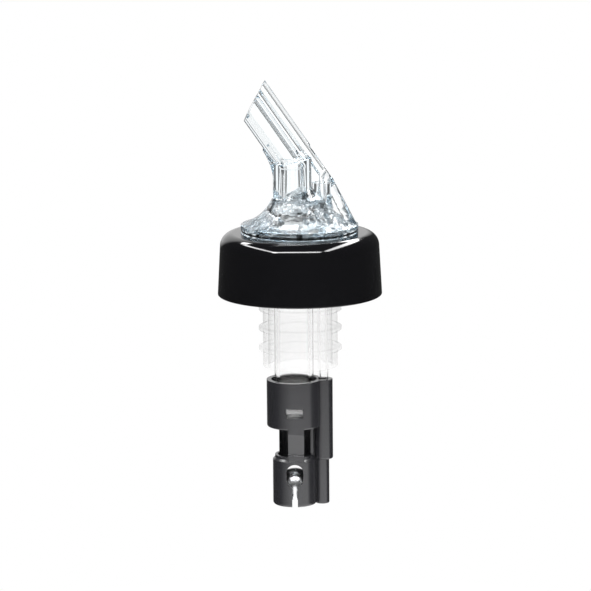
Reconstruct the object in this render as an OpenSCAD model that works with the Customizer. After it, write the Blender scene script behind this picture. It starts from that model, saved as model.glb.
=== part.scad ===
// Measured liquor pourer: a clear twin-tube spout on a round black collar,
// a finned cork for the bottle's neck and a ball-timed metering tail below it.
// Sizes are in millimetres. Z is up along the cork and z = 0 is the plane of the
// bottle's lip. The breather is on the +X side and the spout leans towards -X.

/* [Collar] */
// Width at the lower edge
collar_d = 44; // [40:0.5:50]
// Length of the skirt below the bottle's lip
collar_drop = 8.8; // [5:0.2:14]
// Height of the top face above the bottle's lip
collar_rise = 8; // [7:0.1:12]
// Lean of the skirt from upright, in degrees
collar_lean = 3; // [0.5:0.5:5]
// Radius of the shoulder
collar_round = 3.6; // [2:0.1:4]
// Thickness of the skirt and of the top
collar_wall = 1.8; // [1.2:0.1:2.4]

/* [Clear spout] */
// Width of the round base that lies on the collar
base_d = 31.4; // [29:0.2:34]
// Thickness of the base's rim
base_t = 2.1; // [1.2:0.1:2.6]
// Width of the boss that goes down through the collar
boss_d = 24.8; // [24:0.2:26]
// Rise of the solid flared skirt above the rim
skirt_h = 7.3; // [6.5:0.1:9]
// Width of the skirt at its upper end
skirt_top_d = 14.4; // [14:0.2:15.2]
// Radius of the skirt's hollow flank
skirt_r = 12.5; // [11:0.5:24]
// Thickness of the hollow boss
spout_wall = 1.7; // [1.2:0.1:2.2]
// Outside width of the upright column under the pouring tube
column_d = 10.4; // [10:0.1:10.8]
// Bore of the column at its foot
column_bore = 5; // [4.6:0.1:5.6]
// Outside width of the pouring tube
tube_d = 7.2; // [6.8:0.1:7.6]
// Bore of the pouring tube
tube_bore = 3.6; // [3:0.1:4.2]
// Outside width of the vent tube on the pouring tube's back
vent_d = 3.6; // [3.4:0.1:4]
// Bore of the vent tube
vent_bore = 1.5; // [1.2:0.1:1.8]
// Width of the rounded back edge that carries the vent down to the base
back_d = 3; // [2.6:0.1:3.2]
// Lean of both tubes from upright, in degrees
spout_lean = 34.5; // [30:0.5:38]
// Pouring tube's length from its elbow to its mouth
spout_len = 19.3; // [16:0.1:24]
// Height of the elbow above the bottle's lip
elbow_h = 25.8; // [25:0.2:28]
// Slant of the mouth away from a square cut, in degrees
mouth_slant = 28; // [10:1:35]
// Thickness of the upright web
web_t = 2.2; // [1.6:0.1:3]
// Thickness of the round-nosed gusset in front of the column
gusset_t = 4.4; // [3.6:0.2:5.2]
// Number of ribs inside the boss
rib_n = 6; // [4:1:8]
// Thickness of one rib
rib_t = 1.1; // [0.8:0.1:1.6]

/* [Cork] */
// Width of the plug between its fins
cork_d = 20; // [19:0.1:20.8]
// Width over the fins, the size that fills the bottle's neck
fin_d = 22.2; // [21.4:0.1:23]
// Number of fins below the plug's root
fin_n = 4; // [2:1:4]
// Distance from fin to fin
fin_pitch = 5.4; // [4.4:0.1:5.6]
// Height of a fin's outer land
fin_land = 0.9; // [0.6:0.1:1.4]
// Length of the plug below the bottle's lip
cork_len = 28.4; // [27:0.2:30]
// Thickness of the plug's hollow skirt
cork_wall = 1.4; // [1:0.1:1.6]
// Thickness of the flange that lies on the bottle's lip
lip_t = 2.4; // [1.8:0.1:3.2]

/* [Delivery tube] */
// Distance of the tube's axis from the cork's axis, towards the spout
tail_off = 1.75; // [1.5:0.05:1.9]
// Outside width of the tube
stem_d = 10.4; // [10:0.1:10.6]
// Bore of the tube
stem_bore = 8; // [7.6:0.1:8.2]
// Width of the plug end that snaps into the tail's cup
plug_d = 11.2; // [11:0.1:11.4]
// Length of the plug end
plug_h = 7; // [6.6:0.2:8]
// Half angle of the valve seat, in degrees
seat_angle = 16; // [14:1:18]

/* [Metering tail] */
// Depth of the cup's rim below the bottle's lip
cup_depth = 32; // [31.4:0.2:34]
// Outside width of the cup
cup_d = 14.8; // [14.4:0.1:15.2]
// Height of the cup
cup_h = 12.8; // [12.4:0.1:13.4]
// Height of the open neck from the cup to the timing cylinder
neck_h = 9.1; // [8:0.1:11]
// Outside width of the timing cylinder
timer_d = 11.8; // [11.4:0.1:12]
// Height of the timing cylinder
timer_h = 12.4; // [11.6:0.1:14]
// Thickness of the timing cylinder's floor
floor_t = 0.9; // [0.7:0.1:1.2]
// Width of the front post
post_w = 4.3; // [3.6:0.1:5]
// How far the front post stands from the middle towards the breather
post_off = 0.4; // [0:0.1:0.6]
// Width of the back post
back_post_w = 8.3; // [7.8:0.1:8.6]
// Width of the keyhole in the timing cylinder
key_w = 4.5; // [3.8:0.1:4.8]
// Height of the keyhole
key_h = 6.3; // [5.4:0.1:7]
// Width of the slot below the keyhole
key_slot = 1.5; // [1:0.1:2]
// Width of the metering ball
ball_d = 8.73; // [8.6:0.01:8.8]
// Gap between the ball and the timing cylinder's bore
ball_gap = 0.135; // [0.1:0.005:0.2]

/* [Breather] */
// Distance of the breather's axis from the cork's axis
breather_off = 6.05; // [5.95:0.05:6.2]
// Outside width of the breather tube
breather_d = 2.7; // [2.6:0.05:2.8]
// Bore of the breather tube
breather_bore = 1.5; // [1.3:0.1:1.6]
// Outside width of the breather's socket on the tail
socket_d = 5.1; // [4.8:0.1:5.4]
// Outside width of the check ball's chamber
chamber_d = 3.8; // [3.7:0.1:4.2]
// Width of the check ball
check_d = 2; // [1.9:0.05:2.1]
// Gap between the check ball and its chamber
check_gap = 0.1; // [0.08:0.01:0.15]

/* [Hidden] */
$fn = 64;
clear_plastic = [0.86, 0.91, 0.95];
black_gloss = [0.03, 0.03, 0.035];
black_satin = [0.07, 0.07, 0.075];
milky = [0.93, 0.93, 0.92];
steel = [0.75, 0.76, 0.78];
// radial gap of a push fit, and the distance that a cutter runs past a face
push = 0.02;
past = 0.5;
// free gap under a ball at rest, and between a seat and a ball at the end of its way
rest_gap = 0.05;

// collar
collar_r = collar_d / 2;
collar_in = collar_r - collar_wall;
roof_z = collar_rise - collar_wall;
collar_in_top = collar_in - (collar_drop + roof_z) * tan(collar_lean);
lean_out = [cos(collar_lean), sin(collar_lean)];
// centre of the shoulder's arc, which runs on from the leaning side without a corner
shoulder_z = collar_rise - collar_round;
shoulder_c = [collar_r - (collar_round + (shoulder_z + collar_drop) * lean_out[1]) / lean_out[0], shoulder_z];
hub_r = boss_d / 2 + push + 2;

// clear spout
base_r = base_d / 2;
base_z = collar_rise;
rim_z = base_z + base_t;
// ceiling of the boss's hollow, a little above the collar
boss_roof = base_z + 0.6;
skirt_z = rim_z + skirt_h;
skirt_top_r = skirt_top_d / 2;
cap_h = 3;
cap_base_r = skirt_top_r - 0.4;
cap_r = tube_d / 2;
// centre of the circle that hollows the skirt's flank, on the upright bisector of its chord
chord = [skirt_top_r - base_r, skirt_h];
chord_len = norm(chord);
flank_out = sqrt(skirt_r * skirt_r - chord_len * chord_len / 4);
flank_c = [(base_r + skirt_top_r) / 2 + flank_out * skirt_h / chord_len,
    (rim_z + skirt_z) / 2 - flank_out * chord[0] / chord_len];
tail_x = -tail_off;
vent_side = tube_d / 2 + vent_d / 2;
// along the tubes, and across them towards the vent
along = [-sin(spout_lean), cos(spout_lean)];
across = [cos(spout_lean), sin(spout_lean)];
elbow = [tail_x, elbow_h];
vent_line = elbow + vent_side * across;
vent_back = (breather_off - vent_line[0]) / along[0];
vent_elbow = vent_line + vent_back * along;
// the vent tube ends at a small step, and the narrower back edge runs on past the vent's
// elbow to a knee and steepens there down to the rim
vent_step = vent_line + 2 * along;
knee_run = 3;
knee = vent_elbow - knee_run * along;
foot = [base_r - back_d / 2 - 0.2, rim_z - back_d / 4];
// the column's top is cut at a slant, higher on the vent's side
column_cut = 9;
column_top = elbow_h + 1.5;
column_neck = column_bore - 0.7;
// the gusset's hollow front edge, whose lower end dies away into the column
gusset_r = 17.5;
gusset_x = tail_x - column_d / 2 + 0.2;
gusset_rise = 3;
gusset_z = skirt_z + gusset_rise;
gusset_run = 8.6;
gusset_deep = 3;
// how far a piece runs into its neighbour
sink = 1;
socket_wall = 1.3;
socket_r = stem_d / 2 + push + socket_wall;
socket_top = 12;
throat_h = 3;
vent_wall = 1.5;
vent_boss_r = breather_d / 2 + push + vent_wall;
vent_boss_top = vent_elbow[1] - 2.5;
vent_stop = 11;

// cork
cork_r = cork_d / 2;
fin_r = fin_d / 2;
fin_root = 0.35;
land_h = 1.6;
cork_edge = 0.3;
plug_web = 3.6;
first_fin = 7.1;

// delivery tube
seat_h = 1.2;
stop_t = 0.8;
// the stop ring rests on a ledge this far below the cup's rim
entry_h = 2.4;
stop_r = min(plug_d / 2 + 0.3, breather_off + tail_off - breather_d / 2 - 0.2);
cup_z = -cup_depth;
stem_end = cup_z - cup_h + 1.3;
tab_w = 4.2;
tab_h = 2.2;
tab_drop = 7.1;
tab_top = cup_z - tab_drop;
tab_reach = plug_d / 2 + 1.3;
tab_room = 0.2;

// metering tail
cup_r = cup_d / 2;
cup_base = cup_z - cup_h;
timer_top = cup_base - neck_h;
timer_base = timer_top - timer_h;
timer_r = timer_d / 2;
ball_r = ball_d / 2;
bore_r = ball_r + ball_gap;
neck_r = bore_r + 0.8;
shoulder_h = 1.3;
cup_edge = 0.5;
timer_edge = 0.8;
entry_r = plug_d / 2 + 0.5;
// the front post slants in from the cup and ends in a foot with a sloping ledge
post_lip = 0.4;
post_front = bore_r + 0.65;
post_ledge = 0.45;
post_foot = 1.7;
web_half = 1.6;
key_drop = 0.6;
key_top = timer_top - key_drop;
floor_z = timer_base + floor_t;
ball_z = floor_z + ball_r + rest_gap;

// breather
tail_socket_base = timer_top + 1.4;
chamber_r = check_d / 2 + check_gap;
chamber_base = timer_base + 1.2;
chamber_wall = 1.1;
// the chamber's outside stands this far nearer to the timing cylinder than its bore
chamber_in = 0.4;
drain_r = 0.6;
check_seat = sqrt(check_d * check_d / 4 - drain_r * drain_r);
check_z = chamber_base + check_seat + rest_gap;

module slab(thick) {
    rotate([90, 0, 0]) linear_extrude(thick, center = true) children();
}

module rod(from, to, d) {
    run = to - from;
    translate([from[0], 0, from[1]]) rotate([0, atan2(run[0], run[1]), 0])
        cylinder(h = norm(run), d = d);
}

// fills the outer side of a bend and stands a little proud of its two tubes
module knuckle(at, d) {
    translate([at[0], 0, at[1]]) sphere(d = d + 0.2);
}

// a can that stands on z = 0 with its lower edge rounded
module can(r, h, edge) {
    rotate_extrude() {
        square([r - edge, h]);
        translate([0, edge]) square([r, h - edge]);
        translate([r - edge, edge]) circle(edge);
    }
}

module skirt_outside() {
    rotate_extrude() {
        difference() {
            translate([0, base_z]) square([base_r, rim_z - base_z + skirt_h]);
            translate(flank_c) circle(skirt_r);
        }
        polygon([[0, skirt_z - sink], [cap_base_r, skirt_z - sink], [cap_base_r, skirt_z],
            [cap_r, skirt_z + cap_h], [0, skirt_z + cap_h]]);
        translate([0, lip_t]) square([boss_d / 2, base_z - lip_t + base_t / 2]);
    }
}

module boss_hollow() {
    translate([0, 0, lip_t - past])
        cylinder(h = boss_roof - lip_t + past, r = boss_d / 2 - spout_wall);
}

module spout_tubes() {
    reach = spout_len + tube_d;
    rod(elbow, elbow + reach * along, tube_d);
    knuckle(elbow, tube_d);
    rod(vent_step, vent_line + reach * along, vent_d);
    rod(knee, vent_step + sink * along, back_d);
    knuckle(knee, back_d);
    rod(knee, foot, back_d);
    rod([breather_off, lip_t], [breather_off, vent_boss_top], vent_boss_r * 2);
    rod([breather_off, vent_stop], vent_elbow, back_d - 0.3);
}

module column() {
    low = socket_top + throat_h / 2;
    size = 2 * column_d;
    translate([tail_x, 0, 0]) difference() {
        translate([0, 0, low]) cylinder(h = column_top + column_d / 2 - low, d = column_d);
        translate([0, 0, column_top]) rotate([0, -column_cut, 0])
            translate([-size, -size, 0]) cube([2 * size, 2 * size, size]);
    }
}

module spout_web() {
    reach = spout_len + tube_d;
    slab(web_t) polygon([elbow + reach * along, vent_line + reach * along, knee, foot,
        [tail_x, foot[1]], elbow]);
}

module gusset_side() {
    top = elbow + gusset_run * along;
    polygon([elbow + [sink, 0], top, top - tube_d / 2 * across,
        [gusset_x - gusset_deep, skirt_z + sink], [tail_x + sink, skirt_z + sink]]);
}

// the nose is part of a ring that stands on edge around the hollow's centre
module gusset() {
    nose = gusset_t / 2;
    centre = [gusset_x - gusset_r, gusset_z];
    slab(gusset_t - 0.3) difference() {
        gusset_side();
        translate(centre) circle(gusset_r + nose);
    }
    intersection() {
        slab(2 * gusset_t) gusset_side();
        translate([centre[0], 0, centre[1]]) rotate([90, 0, 0]) rotate_extrude()
            translate([gusset_r + nose, 0]) circle(nose);
    }
}

module mouth_cut() {
    at = elbow + spout_len * along;
    size = 4 * tube_d;
    translate([at[0], 0, at[1]]) rotate([0, -spout_lean - mouth_slant, 0])
        translate([-size, -size, 0]) cube([2 * size, 2 * size, size]);
}

module spout_bores() {
    far = spout_len + 2 * tube_d;
    rod(elbow, elbow + far * along, tube_bore);
    knuckle(elbow, column_neck);
    translate([tail_x, 0, socket_top]) {
        cylinder(h = elbow_h - socket_top, d1 = column_bore, d2 = column_neck);
        cylinder(h = throat_h, d1 = stem_bore, d2 = column_bore - 0.4);
    }
    translate([tail_x, 0, lip_t - past])
        cylinder(h = socket_top - lip_t + past, r = stem_d / 2 + push);
    rod(vent_elbow, vent_line + far * along, vent_bore);
    knuckle(vent_elbow, vent_bore);
    rod([breather_off, vent_stop - past], vent_elbow, vent_bore);
    translate([breather_off, 0, lip_t - past])
        cylinder(h = vent_stop - lip_t + past, r = breather_d / 2 + push);
}

module pour_spout() {
    color(clear_plastic) difference() {
        union() {
            difference() {
                skirt_outside();
                boss_hollow();
            }
            intersection() {
                boss_hollow();
                translate([0, 0, lip_t]) union() {
                    for (i = [0:rib_n - 1]) rotate([0, 0, (i + 0.5) * 360 / rib_n])
                        translate([0, -rib_t / 2, 0]) cube([base_r, rib_t, skirt_z]);
                    translate([tail_x, 0, 0]) cylinder(h = skirt_z, r = socket_r);
                }
            }
            spout_tubes();
            column();
            spout_web();
            gusset();
        }
        mouth_cut();
        spout_bores();
    }
}

module collar_outside() {
    polygon([[0, -collar_drop], [collar_r, -collar_drop], shoulder_c + collar_round * lean_out,
        shoulder_c, [shoulder_c[0], collar_rise], [0, collar_rise]]);
    translate(shoulder_c) circle(collar_round);
}

module collar() {
    color(black_gloss) rotate_extrude() difference() {
        union() {
            difference() {
                collar_outside();
                polygon([[0, -collar_drop - past], [collar_in, -collar_drop - past],
                    [collar_in, -collar_drop], [collar_in_top, roof_z], [0, roof_z]]);
            }
            translate([0, lip_t]) square([hub_r, roof_z - lip_t + collar_wall / 2]);
        }
        translate([0, lip_t - past])
            square([boss_d / 2 + push, collar_rise - lip_t + 2 * past]);
    }
}

module cork() {
    color(milky) difference() {
        rotate_extrude() {
            square([hub_r, lip_t]);
            translate([0, -land_h]) square([fin_r, land_h]);
            translate([0, -plug_web]) square([cork_r, plug_web]);
            translate([cork_r - cork_wall, -cork_len])
                square([cork_wall - cork_edge, cork_len]);
            translate([cork_r - cork_wall, -cork_len + cork_edge])
                square([cork_wall, cork_len - cork_edge]);
            translate([cork_r - cork_edge, -cork_len + cork_edge]) circle(cork_edge);
            for (i = [0:fin_n - 1]) translate([0, -first_fin - i * fin_pitch])
                polygon([[cork_r - cork_wall / 2, fin_land / 2 + fin_root],
                    [cork_r - cork_wall / 2, -fin_land / 2 - fin_root],
                    [fin_r, -fin_land / 2], [fin_r, fin_land / 2]]);
        }
        translate([tail_x, 0, -plug_web - past])
            cylinder(h = plug_web + lip_t + 2 * past, r = stem_d / 2 + push);
        translate([breather_off, 0, -plug_web - past])
            cylinder(h = plug_web + lip_t + 2 * past, r = breather_d / 2 + push);
    }
}

module snap_tabs() {
    rotate([90, 0, 90]) linear_extrude(tab_w, center = true) {
        polygon([[-tab_reach, tab_top], [tab_reach, tab_top],
            [tab_reach, tab_top - tab_h / 2], [plug_d / 2 - 0.2, tab_top - tab_h],
            [0.2 - plug_d / 2, tab_top - tab_h], [-tab_reach, tab_top - tab_h / 2]]);
    }
}

module delivery_tube() {
    color(milky) translate([tail_x, 0, 0]) difference() {
        union() {
            translate([0, 0, stem_end]) cylinder(h = socket_top - stem_end, d = stem_d);
            translate([0, 0, stem_end]) cylinder(h = plug_h, d = plug_d);
            translate([0, 0, cup_z - entry_h]) cylinder(h = stop_t, r = stop_r);
            snap_tabs();
        }
        translate([0, 0, stem_end - past])
            cylinder(h = socket_top - stem_end + 2 * past, d = stem_bore);
        translate([0, 0, stem_end])
            cylinder(h = seat_h, r1 = stem_bore / 2 + seat_h * tan(seat_angle), d2 = stem_bore);
    }
}

module breather_tube() {
    color(clear_plastic) translate([breather_off, 0, tail_socket_base + rest_gap]) difference() {
        cylinder(h = vent_stop - tail_socket_base - rest_gap, d = breather_d);
        translate([0, 0, -past])
            cylinder(h = vent_stop - tail_socket_base + past, d = breather_bore);
    }
}

module front_post() {
    top = cup_base + cup_edge;
    low = timer_top - sink / 2;
    ledge_z = timer_top + post_foot;
    intersection() {
        translate([0, 0, timer_top - sink]) cylinder(h = cup_z - timer_top, r = cup_r);
        translate([post_off, 0, 0]) rotate([90, 0, 90]) linear_extrude(post_w, center = true)
            polygon([[-cup_r, top], [-cup_r, cup_base - post_lip],
                [-post_front, ledge_z + post_ledge], [-post_front - post_ledge, ledge_z],
                [-post_front - post_ledge, low], [0, low], [0, top]]);
    }
}

module neck_windows() {
    tall = neck_h - shoulder_h;
    intersection() {
        translate([0, 0, timer_top + shoulder_h]) cylinder(h = tall, r = neck_r + 0.1);
        translate([0, 0, timer_top]) {
            translate([-2 * cup_r, -2 * cup_r, 0])
                cube([2 * cup_r - post_w / 2 + post_off, 2 * cup_r, neck_h]);
            translate([-2 * cup_r, -past, 0])
                cube([2 * cup_r - back_post_w / 2, 2 * cup_r, neck_h]);
            translate([post_w / 2 + post_off, -2 * cup_r, 0])
                cube([cup_r, 2 * cup_r - web_half, neck_h]);
        }
    }
}

module keyhole() {
    r = key_w / 2;
    slab(2 * cup_d) {
        translate([0, key_top - r]) circle(r);
        translate([-r, key_top - key_h + r]) square([key_w, key_h - key_w]);
        translate([0, key_top - key_h + r]) circle(r);
        translate([-key_slot / 2, timer_base - past])
            square([key_slot, key_top - r - timer_base + past]);
    }
}

module metering_body() {
    gap = breather_off - tail_x;
    color(black_satin) translate([tail_x, 0, 0]) difference() {
        union() {
            difference() {
                union() {
                    translate([0, 0, cup_base]) can(cup_r, cup_h, cup_edge);
                    translate([0, 0, timer_base]) can(timer_r, timer_h, timer_edge);
                    translate([0, 0, timer_top])
                        cylinder(h = shoulder_h, r1 = timer_r, r2 = bore_r + 0.2);
                    translate([0, 0, timer_top]) cylinder(h = neck_h + cup_edge, r = neck_r);
                }
                neck_windows();
                keyhole();
            }
            front_post();
            translate([gap, 0, timer_top]) can(socket_d / 2, cup_z - timer_top, cup_edge);
            translate([gap - chamber_in, 0, chamber_base - chamber_wall])
                can(chamber_d / 2, timer_top - chamber_base + 2, timer_edge / 2);
            translate([neck_r - 0.6, -web_half / 2, chamber_base])
                cube([gap - neck_r + 0.6, web_half, cup_base - chamber_base]);
        }
        translate([0, 0, floor_z]) cylinder(h = cup_z - floor_z + past, r = bore_r);
        translate([0, 0, stem_end - rest_gap])
            cylinder(h = cup_depth + past, r = plug_d / 2 + push);
        translate([0, 0, cup_z - entry_h]) cylinder(h = entry_h + past, r = entry_r);
        translate([0, 0, tab_top - tab_h / 2]) cube([tab_w + 2 * tab_room,
            2 * cup_d, tab_h + 2 * tab_room], center = true);
        translate([gap, 0, tail_socket_base])
            cylinder(h = cup_z - tail_socket_base + past, r = breather_d / 2 + push);
        translate([gap, 0, chamber_base])
            cylinder(h = tail_socket_base - chamber_base + past, r = chamber_r);
        translate([gap, 0, timer_base - past])
            cylinder(h = chamber_base - timer_base + 2 * past, r = drain_r);
    }
}

module metering_ball() {
    color(steel) translate([tail_x, 0, ball_z]) sphere(ball_r);
}

module check_ball() {
    color(steel) translate([breather_off, 0, check_z]) sphere(d = check_d);
}

pour_spout();
collar();
cork();
delivery_tube();
breather_tube();
metering_body();
metering_ball();
check_ball();
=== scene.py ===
"""Measured liquor pourer: clear twin-tube spout, round black collar, finned cork and metering tail.

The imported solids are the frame. Each piece below stands for one of them, in metres, with its finish.
"""
import math

import bmesh
import bpy
import numpy as np
from mathutils import Matrix, Quaternion, Vector


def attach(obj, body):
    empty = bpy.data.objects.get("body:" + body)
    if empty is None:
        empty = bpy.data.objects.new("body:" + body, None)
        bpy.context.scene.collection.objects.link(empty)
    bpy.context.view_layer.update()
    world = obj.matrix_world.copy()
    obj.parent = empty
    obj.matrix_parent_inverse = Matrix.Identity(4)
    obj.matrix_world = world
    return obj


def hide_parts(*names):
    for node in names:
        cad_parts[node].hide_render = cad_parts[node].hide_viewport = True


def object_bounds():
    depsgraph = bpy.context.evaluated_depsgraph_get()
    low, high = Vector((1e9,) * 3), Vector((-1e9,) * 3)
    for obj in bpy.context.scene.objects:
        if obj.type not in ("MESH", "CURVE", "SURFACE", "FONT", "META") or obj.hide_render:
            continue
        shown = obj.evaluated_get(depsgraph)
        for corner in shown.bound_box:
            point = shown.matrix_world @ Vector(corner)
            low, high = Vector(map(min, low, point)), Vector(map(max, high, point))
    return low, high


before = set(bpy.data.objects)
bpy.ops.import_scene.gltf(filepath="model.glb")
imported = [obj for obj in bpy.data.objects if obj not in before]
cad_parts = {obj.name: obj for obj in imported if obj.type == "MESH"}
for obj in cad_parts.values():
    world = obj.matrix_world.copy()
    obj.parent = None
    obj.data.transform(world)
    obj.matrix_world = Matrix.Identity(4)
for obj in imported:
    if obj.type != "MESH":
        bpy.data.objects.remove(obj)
cad_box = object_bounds()

MM = 0.001
POURER = "pourer"

# Sizes of the solids in millimetres, for the pieces and for the true normals of the copies

# Where the tail's axis and the breather's stand, and the radial gap of a push fit
tail_x, breather_x, push = -1.75, 6.05, 0.02

# Collar, with the film of air above it and the softening of its lower edge
lip_t, collar_rise, collar_drop, collar_r, collar_wall, collar_round = 2.4, 8.0, 8.8, 22.0, 1.8, 3.6
collar_lean = math.radians(3)
boss_r, hub_r = 12.4, 14.42
air_film, collar_edge, collar_clear = 0.04, 0.3, 0.01

# Clear spout
base_r, rim_z, skirt_top_r, skirt_h, skirt_r, spout_wall = 15.7, 10.1, 7.2, 7.3, 12.5, 1.7
skirt_z = rim_z + skirt_h
cap_step, cap_h = 0.4, 3.0
spout_lean = math.radians(34.5)
tube_r, tube_bore_r, vent_r, vent_bore_r, back_r, back_step = 3.6, 1.8, 1.8, 0.75, 1.5, 0.15
elbow_h, knee_run = 25.8, 3.0
column_r, column_foot_r, column_neck_r, socket_top, throat_h = 5.2, 2.5, 2.15, 12.0, 3.0
socket_wall, vent_wall = 1.3, 1.5
gusset_r, gusset_nose, gusset_rise = 17.5, 2.2, 3.0
# How far a form runs into its neighbour, and how much wider a ball in a bend is than its tube
overlap, bend_room = 0.2, 0.1

# Cork
cork_r, cork_wall, cork_len, cork_edge = 10.0, 1.4, 28.4, 0.3
fin_r, fin_land, fin_root, first_fin, fin_pitch, fin_n = 11.1, 0.9, 0.35, 7.1, 5.4, 4

# Delivery tube and breather tube
stem_r, stem_bore_r, plug_r, stop_r, stem_end, seat_h = 5.2, 4.0, 5.6, 5.9, -43.5, 1.2
seat_angle = math.radians(16)
breather_r, breather_bore_r, breather_low, breather_top, breather_edge = 1.35, 0.75, -52.45, 11.0, 0.1

# Metering tail
cup_r, cup_base, cup_edge, entry_r = 7.4, -44.8, 0.5, 6.1
neck_r, window_r, shoulder_h = 5.3, 5.4, 1.3
timer_r, timer_top, timer_base, timer_edge, bore_r = 5.9, -53.9, -66.3, 0.8, 4.5
key_r, key_top, key_h = 2.25, -54.5, 6.3
socket_r, chamber_r, chamber_bore_r, chamber_edge, drain_r = 2.55, 1.9, 1.1, 0.4, 0.6
# How far the check chamber stands in towards the tail's axis, and up from the timing cylinder's floor
chamber_in, chamber_lift = 0.4, 0.1

# Balls
ball_z, ball_r, check_z, check_r = -60.985, 4.365, -64.25, 1.0

# Directions and turning points of the spout's tubes
along = np.array([-math.sin(spout_lean), 0, math.cos(spout_lean)])
across = np.array([math.cos(spout_lean), 0, math.sin(spout_lean)])
elbow = np.array([tail_x, 0, elbow_h])
vent_line = elbow + (tube_r + vent_r) * across
vent_elbow = vent_line + (breather_x - vent_line[0]) / along[0] * along
knee = vent_elbow - knee_run * along
foot = np.array([base_r - back_r - overlap, 0, rim_z - back_r / 2])


# Helpers for meshes


def put(name, mesh, material, body, node):
    """A finished piece: its mesh as an object that rides on a body and stands for a node of the frame."""
    piece = bpy.data.objects.new(name, mesh)
    bpy.context.scene.collection.objects.link(piece)
    mesh.materials.clear()
    mesh.materials.append(material)
    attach(piece, body)
    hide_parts(node)


def turned(name, profile_mm, centre_mm, turns):
    """A turned surface: the closed profile of (radius, height) carried round an upright axis, as a grid of
    profile point by angle whose last row and column join the first."""
    profile = np.asarray(profile_mm) * MM
    angle = np.linspace(0, 2 * np.pi, turns, endpoint=False)
    radius, height = profile[:, 0, None], profile[:, 1, None]
    points = np.stack([radius * np.cos(angle) + centre_mm[0] * MM, radius * np.sin(angle) + centre_mm[1] * MM,
                       height + 0 * angle], -1).reshape(-1, 3)
    row, column = np.meshgrid(np.arange(len(profile)), np.arange(turns), indexing="ij")
    next_row, next_column = (row + 1) % len(profile), (column + 1) % turns
    faces = np.stack([row * turns + column, row * turns + next_column,
                      next_row * turns + next_column, next_row * turns + column], -1).reshape(-1, 4)
    mesh = bpy.data.meshes.new(name)
    mesh.from_pydata(points.tolist(), [], faces.tolist())
    return mesh


def arc(centre, radius, start_deg, end_deg, steps):
    """Points of a circle's arc in the plane of radius and height, from one angle to another."""
    turn = np.radians(np.linspace(start_deg, end_deg, steps))
    return np.stack([centre[0] + radius * np.cos(turn), centre[1] + radius * np.sin(turn)], -1)


def smooth_by_angle(mesh, crease_deg):
    """Smooth shading with an edge left sharp where its two faces turn by more than crease_deg."""
    mesh.shade_smooth()
    mesh.set_sharp_from_angle(angle=math.radians(crease_deg))
    return mesh


def lapped_ball(name, centre_mm, radius_mm, bands=48, turns=96):
    """A ball: latitude by longitude on a sphere, with one point at each pole."""
    lift, turn = np.meshgrid(np.linspace(-np.pi / 2, np.pi / 2, bands + 1)[1:-1],
                             np.linspace(0, 2 * np.pi, turns, endpoint=False), indexing="ij")
    shell = np.stack([np.cos(lift) * np.cos(turn), np.cos(lift) * np.sin(turn), np.sin(lift)], -1)
    shell = shell.reshape(-1, 3)
    points = np.concatenate([shell, [[0, 0, -1], [0, 0, 1]]]) * radius_mm + np.asarray(centre_mm)
    row, column = np.meshgrid(np.arange(bands - 2), np.arange(turns), indexing="ij")
    here, beside = row * turns + column, row * turns + (column + 1) % turns
    quads = np.stack([here, beside, beside + turns, here + turns], -1).reshape(-1, 4)
    around = np.arange(turns)
    ahead = (around + 1) % turns
    last = (bands - 2) * turns
    low = np.stack([np.full(turns, len(shell)), ahead, around], -1)
    high = np.stack([np.full(turns, len(shell) + 1), last + around, last + ahead], -1)
    mesh = bpy.data.meshes.new(name)
    mesh.from_pydata((points * MM).tolist(), [], quads.tolist() + low.tolist() + high.tolist())
    mesh.shade_smooth()
    return mesh


# True surfaces of the solids: each gives, for points in millimetres, the distance from it and its unit normal

# A length that is put for zero before it divides
NO_LENGTH = 1e-9
# Corners of loose triangles that are merged, and edges that are dropped, in metres
MERGED, DROPPED = 2e-6, 1e-7
# How far off a true surface a triangle's corners may lie, in millimetres,
# and the least cosine between the two normals there
ON_SURFACE, SAME_WAY = 0.012, 0.85


def bar(at, direction, radius):
    """A round bar: the distance from its axis less its radius, with the normal straight away from the axis."""
    axis = np.asarray(direction) / np.linalg.norm(direction)

    def surface(points):
        out = points - np.asarray(at)
        out = out - np.outer(out @ axis, axis)
        far = np.linalg.norm(out, axis=1)
        return far - radius, out / np.maximum(far, NO_LENGTH)[:, None]
    return surface


def upright(x, radius):
    """A round bar that stands upright at x."""
    return bar((x, 0, 0), (0, 0, 1), radius)


def cone(x, low_z, low_r, high_z, high_r):
    """An upright cone: its radius goes evenly from low_r to high_r, and its normal leans by that slope."""
    slope = (high_r - low_r) / (high_z - low_z)

    def surface(points):
        out = points - (x, 0, 0)
        far = np.hypot(out[:, 0], out[:, 1])
        tilt = 1 / math.hypot(1, slope)
        spoke = out[:, :2] / np.maximum(far, NO_LENGTH)[:, None]
        normal = np.column_stack([spoke * tilt, np.full(len(out), -slope * tilt)])
        return (far - low_r - slope * (points[:, 2] - low_z)) * tilt, normal
    return surface


def ball(at, radius):
    """A ball: the distance from its centre less its radius."""
    def surface(points):
        out = points - np.asarray(at)
        far = np.linalg.norm(out, axis=1)
        return far - radius, out / np.maximum(far, NO_LENGTH)[:, None]
    return surface


def ring(at, axis, wide_r, thin_r):
    """A ring: the distance from the circle of radius wide_r round an axis, less thin_r."""
    axis = np.asarray(axis, float)

    def surface(points):
        out = points - np.asarray(at)
        height = out @ axis
        flat = out - np.outer(height, axis)
        far = np.linalg.norm(flat, axis=1)
        spoke = flat / np.maximum(far, NO_LENGTH)[:, None]
        core = spoke * (far - wide_r)[:, None] + np.outer(height, axis)
        depth = np.linalg.norm(core, axis=1)
        return depth - thin_r, core / np.maximum(depth, NO_LENGTH)[:, None]
    return surface


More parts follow.
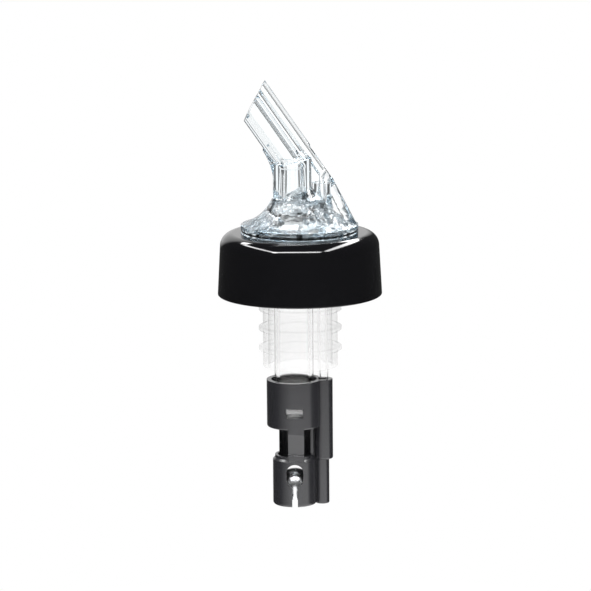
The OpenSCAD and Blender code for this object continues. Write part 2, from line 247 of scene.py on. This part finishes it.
def true_copy(node, surfaces):
    """A copy of a frame node's mesh with its loose triangles merged. A triangle whose corners lie on one of the
    true surfaces takes that surface's normals there, and every other one is flat."""
    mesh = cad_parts[node].data.copy()
    form = bmesh.new()
    form.from_mesh(mesh)
    bmesh.ops.remove_doubles(form, verts=form.verts, dist=MERGED)
    bmesh.ops.dissolve_degenerate(form, edges=form.edges, dist=DROPPED)
    bmesh.ops.triangulate(form, faces=form.faces)
    form.to_mesh(mesh)
    form.free()
    mesh.shade_smooth()
    points = np.empty(len(mesh.vertices) * 3)
    mesh.vertices.foreach_get("co", points)
    points = points.reshape(-1, 3) / MM
    corner = np.empty(len(mesh.loops), int)
    mesh.loops.foreach_get("vertex_index", corner)
    corner = corner.reshape(-1, 3)
    facing = np.empty(len(mesh.polygons) * 3)
    mesh.polygons.foreach_get("normal", facing)
    facing = facing.reshape(-1, 3)
    normals = np.repeat(facing[:, None, :], 3, 1)
    nearest = np.full(len(corner), ON_SURFACE)
    for surface in surfaces:
        away, normal = surface(points)
        away = np.abs(away)[corner].max(1)
        turned_to = np.einsum("fcx,fx->fc", normal[corner], facing)
        taken = (away < nearest) & (np.abs(turned_to).min(1) > SAME_WAY)
        nearest = np.where(taken, away, nearest)
        normals[taken] = (normal[corner] * np.sign(turned_to)[:, :, None])[taken]
    mesh.normals_split_custom_set(normals.reshape(-1, 3).tolist())
    return mesh


# Helpers for materials


def linear(hex_colour):
    """Linear RGBA of an sRGB hex colour."""
    srgb = np.array([int(hex_colour[i:i + 2], 16) for i in (1, 3, 5)]) / 255
    rgb = np.where(srgb <= 0.04045, srgb / 12.92, ((srgb + 0.055) / 1.055) ** 2.4)
    return (*rgb, 1.0)


def add(tree, kind, sockets=None, **settings):
    """One node: settings are its properties, and sockets its inputs by name or number, as values or links."""
    made = tree.nodes.new(kind)
    for name, value in settings.items():
        setattr(made, name, value)
    for key, value in (sockets or {}).items():
        if isinstance(value, bpy.types.NodeSocket):
            tree.links.new(value, made.inputs[key])
        else:
            made.inputs[key].default_value = value
    return made


def new_material(name):
    """An empty node material: its tree and its output node."""
    material = bpy.data.materials.new(name)
    material.use_nodes = True
    material.node_tree.nodes.clear()
    return material, material.node_tree, material.node_tree.nodes.new("ShaderNodeOutputMaterial")


def per_metre(size_mm):
    """The scale that makes one cell of a pattern size_mm long on Object coordinates in metres."""
    return 1 / (size_mm * MM)


# Materials

# Where nearly all values of a noise pattern lie
NOISE_LOW, NOISE_HIGH = 0.3, 0.7
# Heights in millimetres: the flare's sink marks set in over the rim and die away over the skirt's top
rim_bare, rim_marked, skirt_marked, skirt_bare = 9, 10, 15, 20
# Heights in millimetres: the delivery tube is milky up to the first and clear from the second
milky_to, clear_from = -34, -32


def clear_moulded_san():
    """Clear SAN, injection moulded in a polished tool: glassy, faintly blue where it is thick. A flow skin
    softens what is seen through it by a trace, and the thick flare is hazier, with shallow sink marks that
    break up the light."""
    material, tree, out = new_material("san_clear_polished_moulding")
    place = add(tree, "ShaderNodeTexCoord").outputs["Object"]
    flow = add(tree, "ShaderNodeTexNoise", {"Vector": place, "Scale": per_metre(9), "Detail": 1.0})
    skin = add(tree, "ShaderNodeMapRange", {
        "Value": flow.outputs["Fac"], "From Min": NOISE_LOW, "From Max": NOISE_HIGH,
        "To Min": 0.02, "To Max": 0.07})
    height = add(tree, "ShaderNodeSeparateXYZ", {0: place}).outputs["Z"]
    below_top = add(tree, "ShaderNodeMapRange", {
        "Value": height, "From Min": skirt_bare * MM, "From Max": skirt_marked * MM,
        "To Min": 0.0, "To Max": 1.0})
    above_rim = add(tree, "ShaderNodeMapRange", {
        "Value": height, "From Min": rim_bare * MM, "From Max": rim_marked * MM,
        "To Min": 0.0, "To Max": 1.0})
    flare = add(tree, "ShaderNodeMath", {0: below_top.outputs["Result"], 1: above_rim.outputs["Result"]},
                operation="MULTIPLY")
    sinks = add(tree, "ShaderNodeTexNoise", {"Vector": place, "Scale": per_metre(3), "Detail": 2.0})
    wave = add(tree, "ShaderNodeBump", {
        "Height": sinks.outputs["Fac"], "Strength": flare.outputs["Value"], "Distance": 1.0 * MM})
    soft = add(tree, "ShaderNodeMath", {0: flare.outputs["Value"], 1: 0.2, 2: skin.outputs["Result"]},
               operation="MULTIPLY_ADD")
    shader = add(tree, "ShaderNodeBsdfPrincipled", {
        "Base Color": linear("#FDFEFE"), "Roughness": soft.outputs["Value"], "IOR": 1.57,
        "Transmission Weight": 1.0, "Normal": wave.outputs["Normal"]})
    tint = add(tree, "ShaderNodeVolumeAbsorption", {"Color": linear("#91C1D7"), "Density": 20.0})
    tree.links.new(shader.outputs["BSDF"], out.inputs["Surface"])
    tree.links.new(tint.outputs["Volume"], out.inputs["Volume"])
    return material


def black_polished_abs():
    """Black ABS from a polished tool: near-black with a sharp gloss, slightly uneven where the flow cooled."""
    material, tree, out = new_material("abs_black_polished_moulding")
    place = add(tree, "ShaderNodeTexCoord").outputs["Object"]
    haze = add(tree, "ShaderNodeTexNoise", {"Vector": place, "Scale": per_metre(6), "Detail": 3.0})
    gloss = add(tree, "ShaderNodeMapRange", {
        "Value": haze.outputs["Fac"], "From Min": NOISE_LOW, "From Max": NOISE_HIGH,
        "To Min": 0.06, "To Max": 0.11})
    shader = add(tree, "ShaderNodeBsdfPrincipled", {
        "Base Color": linear("#0A0A0C"), "Roughness": gloss.outputs["Result"], "IOR": 1.54})
    tree.links.new(shader.outputs["BSDF"], out.inputs["Surface"])
    return material


def milky_tpe():
    """Natural thermoplastic elastomer: soft, pale and thin, so light passes and the tubes show through it.
    Seen at a slant it is milkier, which draws its fins and its edges."""
    material, tree, out = new_material("tpe_natural_moulding")
    place = add(tree, "ShaderNodeTexCoord").outputs["Object"]
    cloud = add(tree, "ShaderNodeTexNoise", {"Vector": place, "Scale": per_metre(4), "Detail": 2.0})
    matt = add(tree, "ShaderNodeMapRange", {
        "Value": cloud.outputs["Fac"], "From Min": NOISE_LOW, "From Max": NOISE_HIGH,
        "To Min": 0.3, "To Max": 0.42})
    slant = add(tree, "ShaderNodeLayerWeight", {"Blend": 0.5})
    body = add(tree, "ShaderNodeMapRange", {
        "Value": slant.outputs["Facing"], "From Min": 0.4, "From Max": 1.0, "To Min": 0.04, "To Max": 0.25})
    shader = add(tree, "ShaderNodeBsdfPrincipled", {
        "Base Color": linear("#FAFAF9"), "Roughness": matt.outputs["Result"], "IOR": 1.49,
        "Alpha": body.outputs["Result"]})
    tree.links.new(shader.outputs["BSDF"], out.inputs["Surface"])
    haze = add(tree, "ShaderNodeVolumeAbsorption", {"Color": linear("#BCBCBC"), "Density": 20.0})
    tree.links.new(haze.outputs["Volume"], out.inputs["Volume"])
    return material


def natural_polypropylene():
    """Natural polypropylene tube: clear and waxy, and milkier at the thick plug end, which shows in the tail's
    window. Its index is set low, so that the thin walls bend little of what is behind them."""
    material, tree, out = new_material("polypropylene_natural_moulding")
    place = add(tree, "ShaderNodeTexCoord").outputs["Object"]
    cloud = add(tree, "ShaderNodeTexNoise", {"Vector": place, "Scale": per_metre(3), "Detail": 2.0})
    matt = add(tree, "ShaderNodeMapRange", {
        "Value": cloud.outputs["Fac"], "From Min": NOISE_LOW, "From Max": NOISE_HIGH,
        "To Min": 0.09, "To Max": 0.15})
    height = add(tree, "ShaderNodeSeparateXYZ", {0: place}).outputs["Z"]
    clear_part = add(tree, "ShaderNodeMapRange", {
        "Value": height, "From Min": milky_to * MM, "From Max": clear_from * MM,
        "To Min": 0.82, "To Max": 1.0})
    shader = add(tree, "ShaderNodeBsdfPrincipled", {
        "Base Color": linear("#FFFFFF"), "Roughness": matt.outputs["Result"], "IOR": 1.28,
        "Transmission Weight": clear_part.outputs["Result"]})
    tree.links.new(shader.outputs["BSDF"], out.inputs["Surface"])
    return material


def black_satin_acetal():
    """Black acetal from a spark-eroded tool: a fine even grain that spreads the light to a satin grey. It is
    drawn coarser than it is, so that it shows. The edges are rounded by a fifth of a millimetre, so that they
    catch a line of light."""
    material, tree, out = new_material("acetal_black_spark_grain_moulding")
    place = add(tree, "ShaderNodeTexCoord").outputs["Object"]
    grain = add(tree, "ShaderNodeTexNoise", {"Vector": place, "Scale": per_metre(0.25), "Detail": 2.0})
    edge = add(tree, "ShaderNodeBevel", {"Radius": 0.22 * MM}, samples=6)
    relief = add(tree, "ShaderNodeBump", {
        "Height": grain.outputs["Fac"], "Strength": 0.08, "Distance": 0.02 * MM,
        "Normal": edge.outputs["Normal"]})
    shader = add(tree, "ShaderNodeBsdfPrincipled", {
        "Base Color": linear("#212124"), "Roughness": 0.25, "IOR": 1.66, "Normal": relief.outputs["Normal"]})
    tree.links.new(shader.outputs["BSDF"], out.inputs["Surface"])
    return material


def ground_stainless():
    """Stainless bearing ball, ground and lapped: a bright mirror with an even haze that softens it."""
    material, tree, out = new_material("stainless_steel_lapped_ball")
    place = add(tree, "ShaderNodeTexCoord").outputs["Object"]
    haze = add(tree, "ShaderNodeTexNoise", {"Vector": place, "Scale": per_metre(0.8), "Detail": 4.0})
    gloss = add(tree, "ShaderNodeMapRange", {
        "Value": haze.outputs["Fac"], "From Min": NOISE_LOW, "From Max": NOISE_HIGH,
        "To Min": 0.26, "To Max": 0.32})
    shader = add(tree, "ShaderNodeBsdfPrincipled", {
        "Base Color": linear("#D5D6D8"), "Metallic": 1.0, "Roughness": gloss.outputs["Result"]})
    tree.links.new(shader.outputs["BSDF"], out.inputs["Surface"])
    return material


# Pieces


def spout_surfaces():
    """The spout's round forms: its two tubes and their bores, the column, the sockets, the flared skirt's
    hollow flank, the gusset's nose and the balls that fill the bends."""
    chord = np.array([skirt_top_r - base_r, skirt_h])
    length = np.linalg.norm(chord)
    out = math.sqrt(skirt_r ** 2 - length ** 2 / 4)
    flank_r = (base_r + skirt_top_r) / 2 + out * skirt_h / length
    flank_z = (rim_z + skirt_z) / 2 - out * chord[0] / length
    gusset_x = tail_x - column_r + overlap
    cap_r = skirt_top_r - cap_step
    return [
        bar(elbow, along, tube_r), bar(elbow, along, tube_bore_r), bar(vent_line, along, vent_r),
        bar(vent_line, along, vent_bore_r), bar(knee, along, back_r), bar(knee, foot - knee, back_r),
        upright(tail_x, column_r), upright(tail_x, stem_r + push), upright(tail_x, stem_r + push + socket_wall),
        upright(breather_x, breather_r + push + vent_wall), upright(breather_x, breather_r + push),
        upright(breather_x, back_r - back_step), upright(breather_x, vent_bore_r),
        upright(0, boss_r), upright(0, boss_r - spout_wall), upright(0, base_r), upright(0, cap_r),
        cone(0, skirt_z, cap_r, skirt_z + cap_h, tube_r),
        cone(tail_x, socket_top, column_foot_r, elbow_h, column_neck_r),
        cone(tail_x, socket_top, stem_bore_r, socket_top + throat_h, column_foot_r - overlap),
        ring((0, 0, flank_z), (0, 0, 1), flank_r, skirt_r),
        ring((gusset_x - gusset_r, 0, skirt_z + gusset_rise), (0, 1, 0), gusset_r + gusset_nose, gusset_nose),
        ball(elbow, tube_r + bend_room), ball(elbow, column_neck_r + bend_room), ball(knee, back_r + bend_room),
        ball(vent_elbow, vent_bore_r + bend_room)]


def collar_profile():
    """The collar's section: a leaning skirt with a softened lower edge, a round shoulder, the flat top, the
    hole for the spout's boss with its hub, and the inside. The top lies a hair below the spout's base, so that
    the base keeps the film of air that makes its underside shine."""
    lean = math.degrees(collar_lean)
    top = collar_rise - air_film
    shoulder_z = top - collar_round
    shoulder_in = collar_round + (shoulder_z + collar_drop) * math.sin(collar_lean)
    shoulder_x = collar_r - shoulder_in / math.cos(collar_lean)
    inside = collar_r - collar_wall
    roof = collar_rise - collar_wall
    inside_top = inside - (collar_drop + roof) * math.tan(collar_lean)
    edge_z = -collar_drop + collar_edge
    return np.concatenate([
        arc((collar_r - collar_edge - collar_clear, edge_z), collar_edge, -90, lean, 8),
        arc((shoulder_x, shoulder_z), collar_round, lean, 90, 20),
        [[boss_r + push, top], [boss_r + push, lip_t], [hub_r, lip_t], [hub_r, roof], [inside_top, roof]],
        arc((inside + collar_edge, edge_z), collar_edge, 180 + lean, 270, 8)])


def tail_surfaces():
    """The tail's round forms about its own axis, the breather's socket and chamber, and the keyholes' ends."""
    chamber_x = breather_x - chamber_in
    tail_r = (cup_r, timer_r, neck_r, bore_r, plug_r + push, entry_r, window_r)
    breather_socket_r = (socket_r, chamber_bore_r, drain_r, breather_r + push)
    return [upright(tail_x, r) for r in tail_r] + [upright(breather_x, r) for r in breather_socket_r] + [
        upright(chamber_x, chamber_r),
        cone(tail_x, timer_top, timer_r, timer_top + shoulder_h, bore_r + overlap),
        ring((tail_x, 0, cup_base + cup_edge), (0, 0, 1), cup_r - cup_edge, cup_edge),
        ring((tail_x, 0, timer_base + timer_edge), (0, 0, 1), timer_r - timer_edge, timer_edge),
        ring((breather_x, 0, timer_top + cup_edge), (0, 0, 1), socket_r - cup_edge, cup_edge),
        ring((chamber_x, 0, timer_base + chamber_lift + chamber_edge), (0, 0, 1), chamber_r - chamber_edge,
             chamber_edge),
        bar((tail_x, 0, key_top - key_r), (0, 1, 0), key_r),
        bar((tail_x, 0, key_top - key_h + key_r), (0, 1, 0), key_r)]


def cork_surfaces():
    """The cork's round forms: plug inside and out, fins, flange and the two holes."""
    plug = [upright(0, r) for r in (cork_r, cork_r - cork_wall, fin_r, hub_r)]
    holes = [upright(tail_x, stem_r + push), upright(breather_x, breather_r + push)]
    edge = [ring((0, 0, cork_edge - cork_len), (0, 0, 1), cork_r - cork_edge, cork_edge)]
    root_half, land_half = fin_land / 2 + fin_root, fin_land / 2
    fins = [cone(0, z + side * root_half, cork_r - cork_wall / 2, z + side * land_half, fin_r)
            for z in -first_fin - fin_pitch * np.arange(fin_n) for side in (-1, 1)]
    return plug + holes + edge + fins


def stem_surfaces():
    """The delivery tube's round forms: outside, bore, plug end, stop ring and valve seat."""
    seat_r = stem_bore_r + seat_h * math.tan(seat_angle)
    return [upright(tail_x, r) for r in (stem_r, stem_bore_r, plug_r, stop_r)] + [
        cone(tail_x, stem_end, seat_r, stem_end + seat_h, stem_bore_r)]


def air_tube_profile():
    """The breather tube's section: a plain wall with its four corners broken by a tenth of a millimetre."""
    inner, outer, low, top, edge = breather_bore_r, breather_r, breather_low, breather_top, breather_edge
    return [[inner, low + edge], [inner + edge, low], [outer - edge, low], [outer, low + edge],
            [outer, top - edge], [outer - edge, top], [inner + edge, top], [inner, top - edge]]


# An edge is left sharp where its two faces turn by more than this, in degrees
crease = 30

steel = ground_stainless()
natural = natural_polypropylene()
put("clear_spout", true_copy("pour_spout", spout_surfaces()), clear_moulded_san(), POURER,
    "pour_spout")
put("black_collar", smooth_by_angle(turned("black_collar", collar_profile(), (0, 0), 256), crease),
    black_polished_abs(), POURER, "collar")
put("finned_cork", true_copy("cork", cork_surfaces()), milky_tpe(), POURER, "cork")
put("stem_tube", true_copy("delivery_tube", stem_surfaces()), natural, POURER, "delivery_tube")
put("air_tube", smooth_by_angle(turned("air_tube", air_tube_profile(), (breather_x, 0), 96), crease),
    natural, POURER, "breather_tube")
put("metering_tail", true_copy("metering_body", tail_surfaces()), black_satin_acetal(), POURER,
    "metering_body")
put("timing_ball", lapped_ball("timing_ball", (tail_x, 0, ball_z), ball_r), steel, "metering_ball",
    "metering_ball")
put("air_ball", lapped_ball("air_ball", (breather_x, 0, check_z), check_r, 24, 48), steel, "check_ball",
    "check_ball")

# Camera

SENSOR = 36.0
camera_far = 1.2
frame_width = 158.3 * MM
aim = Vector((-1.2, 0, -9.27)) * MM
camera_rise = math.radians(10.7)
camera_roll = math.radians(0.45)

camera = bpy.data.cameras.new("photo_camera")
camera.sensor_width = SENSOR
camera.lens = SENSOR * camera_far / frame_width
camera.clip_start = 0.01
camera.clip_end = 20
camera_object = bpy.data.objects.new("photo_camera", camera)
bpy.context.scene.collection.objects.link(camera_object)
back = Vector((0, -math.cos(camera_rise), math.sin(camera_rise)))
camera_object.location = aim + back * camera_far
turn = (-back).to_track_quat("-Z", "Y") @ Quaternion((0, 0, 1), -camera_roll)
camera_object.rotation_euler = turn.to_euler()
bpy.context.scene.camera = camera_object

# Studio


def softbox(name, at, along_side, wide, tall, watts):
    """A rectangular area lamp at a point, turned to face the origin, with its width along a given direction."""
    lamp = bpy.data.lights.new(name, "AREA")
    lamp.shape = "RECTANGLE"
    lamp.size = wide
    lamp.size_y = tall
    lamp.energy = watts
    holder = bpy.data.objects.new(name, lamp)
    bpy.context.scene.collection.objects.link(holder)
    away = Vector(at).normalized()
    side = Vector(along_side)
    side = (side - away * side.dot(away)).normalized()
    turn = Matrix((side, away.cross(side), away)).transposed()
    holder.matrix_world = Matrix.Translation(at) @ turn.to_4x4()


# Each lamp's name, place, direction of its width, width, height and watts
LAMPS = (
    ("front_strip", (-0.07, -0.64, 0.75), (1, 0, 0), 1.14, 0.14, 10.0),
    ("right_strip", (0.471, 0.144, 0.75), (-0.117, 1, 0), 1.43, 0.13, 8.5),
    ("left_strip", (-0.626, -0.114, 0.75), (-0.026, 1, 0), 1.24, 0.1, 5.7),
    ("right_back", (0.227, 0.966, 0.627), (-0.727, -0.245, 0.641), 0.132, 0.376, 2.4),
    ("left_back", (-0.349, 0.451, 0.533), (-0.778, -0.628, 0.023), 0.21, 0.088, 0.9))
for lamp_row in LAMPS:
    softbox(*lamp_row)

# How light the backdrop and its side panels are through clear plastic
WHITE, PANEL = 1.25, 0.12
# How far to the side, from 0 straight ahead to 1 square to it, and how light the room is there
FRAME_BANDS = ((0.0, WHITE), (0.35, WHITE), (0.41, PANEL), (0.6, PANEL), (0.66, WHITE), (0.74, WHITE),
               (0.8, PANEL), (0.92, PANEL), (0.97, WHITE))
# Directions from the object to the light side of the room, and to the backdrop that glossy surfaces mirror
room_front = (0.2, -0.96, 0.2)
backdrop = (-0.22, 0.935, 0.28)


def studio_world():
    """White to the camera. To matt surfaces it is a room that is lit from the front. To glossy ones it is dim,
    apart from its lamps and a light backdrop straight behind. Through clear plastic it is that backdrop with
    two dark panels on each side, which draw the outlines of the plastic."""
    world = bpy.data.worlds.new("studio")
    world.use_nodes = True
    tree = world.node_tree
    tree.nodes.clear()
    out = tree.nodes.new("ShaderNodeOutputWorld")
    heading = add(tree, "ShaderNodeTexCoord").outputs["Generated"]
    toward = add(tree, "ShaderNodeVectorMath", {0: heading, 1: room_front}, operation="DOT_PRODUCT")
    room = add(tree, "ShaderNodeMapRange", {
        "Value": toward.outputs["Value"], "From Min": 0.1, "From Max": 0.9, "To Min": 0.2, "To Max": 1.0})
    aside = add(tree, "ShaderNodeMath", {0: add(tree, "ShaderNodeSeparateXYZ", {0: heading}).outputs["X"]},
                operation="ABSOLUTE")
    framed = add(tree, "ShaderNodeValToRGB", {"Fac": aside.outputs["Value"]})
    # A new ramp has a stop at each end, which the bands replace
    stops = framed.color_ramp.elements
    stops.remove(stops[0])
    for place, grey in FRAME_BANDS:
        stops.new(place).color = (grey, grey, grey, 1)
    stops.remove(stops[len(stops) - 1])
    path = add(tree, "ShaderNodeLightPath")
    behind = add(tree, "ShaderNodeVectorMath", {0: heading, 1: backdrop}, operation="DOT_PRODUCT")
    mirrored = add(tree, "ShaderNodeMapRange", {
        "Value": behind.outputs["Value"], "From Min": 0.9, "From Max": 0.96, "To Min": 0.05, "To Max": 1.0})
    level = add(tree, "ShaderNodeMix", {
        "Factor": path.outputs["Is Glossy Ray"], "A": room.outputs["Result"], "B": mirrored.outputs["Result"]})
    level = add(tree, "ShaderNodeMix", {
        "Factor": path.outputs["Is Transmission Ray"], "A": level.outputs["Result"],
        "B": framed.outputs["Color"]})
    level = add(tree, "ShaderNodeMath", {0: level.outputs["Result"], 1: path.outputs["Is Camera Ray"]},
                operation="MAXIMUM")
    light = add(tree, "ShaderNodeBackground", {"Color": (1, 1, 1, 1), "Strength": level.outputs["Value"]})
    tree.links.new(light.outputs["Background"], out.inputs["Surface"])
    bpy.context.scene.world = world


studio_world()

# Distances in metres: the floor's depth under the object and its reach, and how far behind the fan starts
floor_drop, floor_reach, fan_back = 60 * MM, 0.6, 0.08
# The fans painted into the paper's colour: the wide fan's two edges and the weaker fan's sides, each from
# painted shade to painted light, as angles from straight ahead
fan_left = math.radians(-62), math.radians(-10)
fan_right = math.radians(66), math.radians(57)
weak_fan = math.radians(140), math.radians(175)
weak_level = 0.7
# Both end at this distance, from painted shade to painted light
fan_end = 0.5, 0.42
# Near the object the paper keeps some of its own shading, and further off it is all white
shade_from, shade_to, shade_white = 0.08, 0.2, 0.7


def pale_floor():
    """A sheet of paper below the object: a flat grid of width by depth. To the camera and through clear plastic
    it is white, and shaded where the object hides the light. To everything else its colour is painted light and
    shade: pale in a wide fan that opens towards the camera and in a narrow, weaker one behind, and dark outside
    them."""
    lines = 64
    spread = np.linspace(-floor_reach, floor_reach, lines)
    x, y = np.meshgrid(spread, spread)
    points = np.stack([x, y, np.full_like(x, cad_box[0].z - floor_drop)], -1).reshape(-1, 3)
    row, column = np.meshgrid(np.arange(lines - 1), np.arange(lines - 1), indexing="ij")
    near = row * lines + column
    faces = np.stack([near, near + 1, near + lines + 1, near + lines], -1).reshape(-1, 4)
    mesh = bpy.data.meshes.new("floor")
    mesh.from_pydata(points.tolist(), [], faces.tolist())
    material, tree, out = new_material("paper_matt_painted_light_fan")
    place = add(tree, "ShaderNodeTexCoord").outputs["Object"]
    away = add(tree, "ShaderNodeVectorMath", {0: place}, operation="LENGTH").outputs["Value"]
    fade = add(tree, "ShaderNodeMapRange", {
        "Value": away, "From Min": shade_from, "From Max": shade_to, "To Min": shade_white, "To Max": 1.0})
    path = add(tree, "ShaderNodeLightPath")
    seen = add(tree, "ShaderNodeMath", {
        0: path.outputs["Is Camera Ray"], 1: path.outputs["Is Transmission Ray"]}, operation="MAXIMUM")
    shown = add(tree, "ShaderNodeMath", {0: fade.outputs["Result"], 1: seen.outputs["Value"]},
                operation="MULTIPLY")
    spot = add(tree, "ShaderNodeSeparateXYZ", {0: place})
    ahead = add(tree, "ShaderNodeMath", {0: fan_back, 1: spot.outputs["Y"]}, operation="SUBTRACT")
    turned_by = add(tree, "ShaderNodeMath", {0: spot.outputs["X"], 1: ahead.outputs["Value"]},
                    operation="ARCTAN2")
    # Painted light and shade on the paper: from here on the colour goes from dark to pale across each edge of
    # the fans and towards their ends
    from_left = add(tree, "ShaderNodeMapRange", {
        "Value": turned_by.outputs["Value"], "From Min": fan_left[0], "From Max": fan_left[1],
        "To Min": 0.0, "To Max": 1.0})
    from_right = add(tree, "ShaderNodeMapRange", {
        "Value": turned_by.outputs["Value"], "From Min": fan_right[0], "From Max": fan_right[1],
        "To Min": 0.0, "To Max": 1.0})
    not_far = add(tree, "ShaderNodeMapRange", {
        "Value": away, "From Min": fan_end[0], "From Max": fan_end[1], "To Min": 0.0, "To Max": 1.0})
    turned_far = add(tree, "ShaderNodeMath", {0: turned_by.outputs["Value"]}, operation="ABSOLUTE")
    from_back = add(tree, "ShaderNodeMapRange", {
        "Value": turned_far.outputs["Value"], "From Min": weak_fan[0], "From Max": weak_fan[1],
        "To Min": 0.0, "To Max": weak_level})
    fan = add(tree, "ShaderNodeMath", {0: from_left.outputs["Result"], 1: from_right.outputs["Result"]},
              operation="MULTIPLY")
    fan = add(tree, "ShaderNodeMath", {0: fan.outputs["Value"], 1: from_back.outputs["Result"]},
              operation="MAXIMUM")
    fan = add(tree, "ShaderNodeMath", {0: fan.outputs["Value"], 1: not_far.outputs["Result"]},
              operation="MULTIPLY")
    # The paper's colour is painted here: pale in the fans and dark outside them, which the glossy and satin
    # surfaces mirror; to the camera and through clear plastic it stays plain white
    lit = add(tree, "ShaderNodeMath", {0: fan.outputs["Value"], 1: seen.outputs["Value"]}, operation="MAXIMUM")
    tone = add(tree, "ShaderNodeMapRange", {
        "Value": lit.outputs["Value"], "To Min": linear("#303030")[0], "To Max": linear("#F2F2F2")[0]})
    paper = add(tree, "ShaderNodeBsdfDiffuse", {"Color": tone.outputs["Result"]})
    white = add(tree, "ShaderNodeEmission", {"Color": (1, 1, 1, 1), "Strength": 1.0})
    mixed = add(tree, "ShaderNodeMixShader", {
        0: shown.outputs["Value"], 1: paper.outputs["BSDF"], 2: white.outputs["Emission"]})
    tree.links.new(mixed.outputs["Shader"], out.inputs["Surface"])
    mesh.materials.append(material)
    sheet = bpy.data.objects.new("floor", mesh)
    bpy.context.scene.collection.objects.link(sheet)


pale_floor()

bpy.context.scene.view_settings.view_transform = "Standard"
# A ray is turned back many times inside the spout before it comes out
bpy.context.scene.cycles.max_bounces = 32
bpy.context.scene.cycles.glossy_bounces = 24
bpy.context.scene.cycles.transmission_bounces = 32
